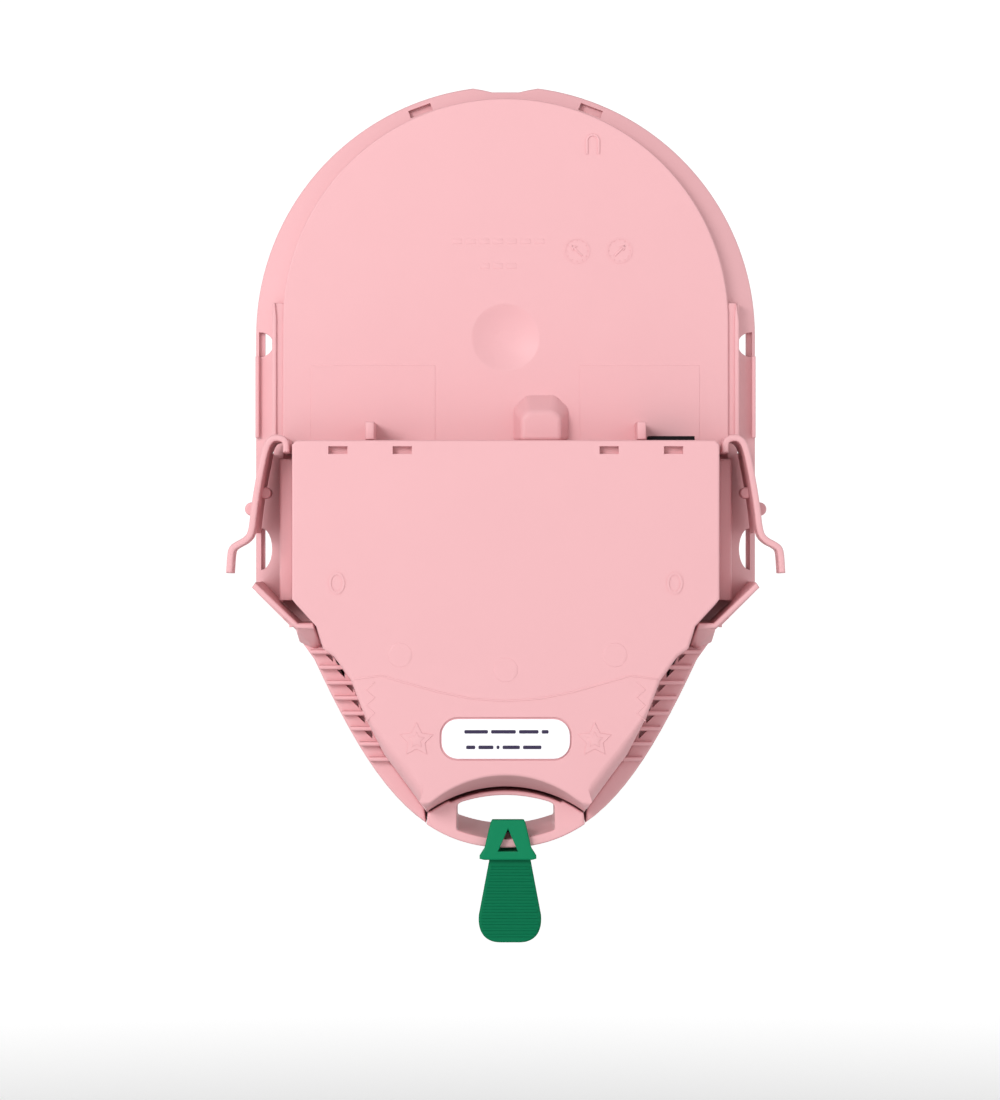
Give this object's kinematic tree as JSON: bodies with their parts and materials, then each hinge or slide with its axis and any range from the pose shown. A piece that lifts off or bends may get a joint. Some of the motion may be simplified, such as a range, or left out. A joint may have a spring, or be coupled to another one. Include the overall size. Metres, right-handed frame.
{
  "type": "defibrillator battery and pad cartridge",
  "caption": "Slim arched cartridge with a battery bay, squeeze latches and a slide-out drawer of electrode pads opened by a hanging pull tab.",
  "frame": {"origin": "front face, at the centre of the arched top's radius", "axes": "+Y out of the front face towards the device's bay, +Z from the pull tab to the arched top, +X to the right when looking at the back"},
  "size_m": [0.0978, 0.024, 0.1524],
  "materials": {
    "shell_plastic": "satin moulded pink plastic with a fine texture",
    "tab_plastic": "satin flexible green plastic",
    "label_paper": "white laminated label",
    "black_plastic": "matt black moulding",
    "board": "green solder resist",
    "cable_ivory": "ivory plastic",
    "cell_can": "plain blue shrink sleeve over a metal can",
    "nickel": "spot-welded nickel strip",
    "contact_metal": "plated contact",
    "lid_foil": "heat-sealed laminated foil",
    "pad_foam": "closed-cell foam backing",
    "pad_gel": "translucent hydrogel",
    "liner_film": "release film",
    "lead_sheath": "thin two-core lead"
  },
  "bodies": {
    "housing": {"front_plate": "shell_plastic", "chassis": "shell_plastic", "battery_cover": "shell_plastic", "front_label": "label_paper", "rear_label": "label_paper", "contact_block": "black_plastic", "circuit_board": "board", "board_chip": "black_plastic", "pad_tail": "cable_ivory", "pad_socket": "cable_ivory", "cell_1": "cell_can", "cell_2": "cell_can", "cell_3": "cell_can", "cell_4": "cell_can", "cell_5": "cell_can", "cell_6": "cell_can", "cell_strap_1": "nickel", "cell_strap_2": "nickel", "cell_strap_3": "nickel", "cell_strap_4": "nickel", "contact_blade_1": "contact_metal", "contact_blade_2": "contact_metal", "contact_blade_3": "contact_metal", "contact_blade_4": "contact_metal"},
    "drawer": {"drawer_tray": "shell_plastic", "drawer_foil": "lid_foil", "upper_pad_backing": "pad_foam", "upper_pad_gel": "pad_gel", "pad_liner": "liner_film", "lower_pad_gel": "pad_gel", "lower_pad_backing": "pad_foam", "folded_lead": "lead_sheath", "finger_lip": "shell_plastic", "tab_strap": "tab_plastic"},
    "tab": {"pull_tab": "tab_plastic"},
    "left_release": {"left_latch": "shell_plastic"},
    "right_release": {"right_latch": "shell_plastic"}
  },
  "joints": [
    {"name": "drawer_slide", "type": "slide", "parent": "housing", "child": "drawer", "axis": [0, 0, -1], "range_m": [0, 0.12]},
    {"name": "tab_swing", "type": "hinge", "parent": "drawer", "child": "tab", "pos_m": [0.0004, -0.0157, -0.0932], "axis": [1, 0, 0], "range_deg": [-55, 75]},
    {"name": "left_latch_flex", "type": "hinge", "parent": "housing", "child": "left_release", "pos_m": [-0.0392, -0.015, -0.0195], "axis": [0, -1, 0], "range_deg": [0, 6.5], "stiffness_Nm_per_rad": 0.8},
    {"name": "right_latch_flex", "type": "hinge", "parent": "housing", "child": "right_release", "pos_m": [0.0392, -0.015, -0.0195], "axis": [0, 1, 0], "range_deg": [0, 6.5], "stiffness_Nm_per_rad": 0.8}
  ]
}
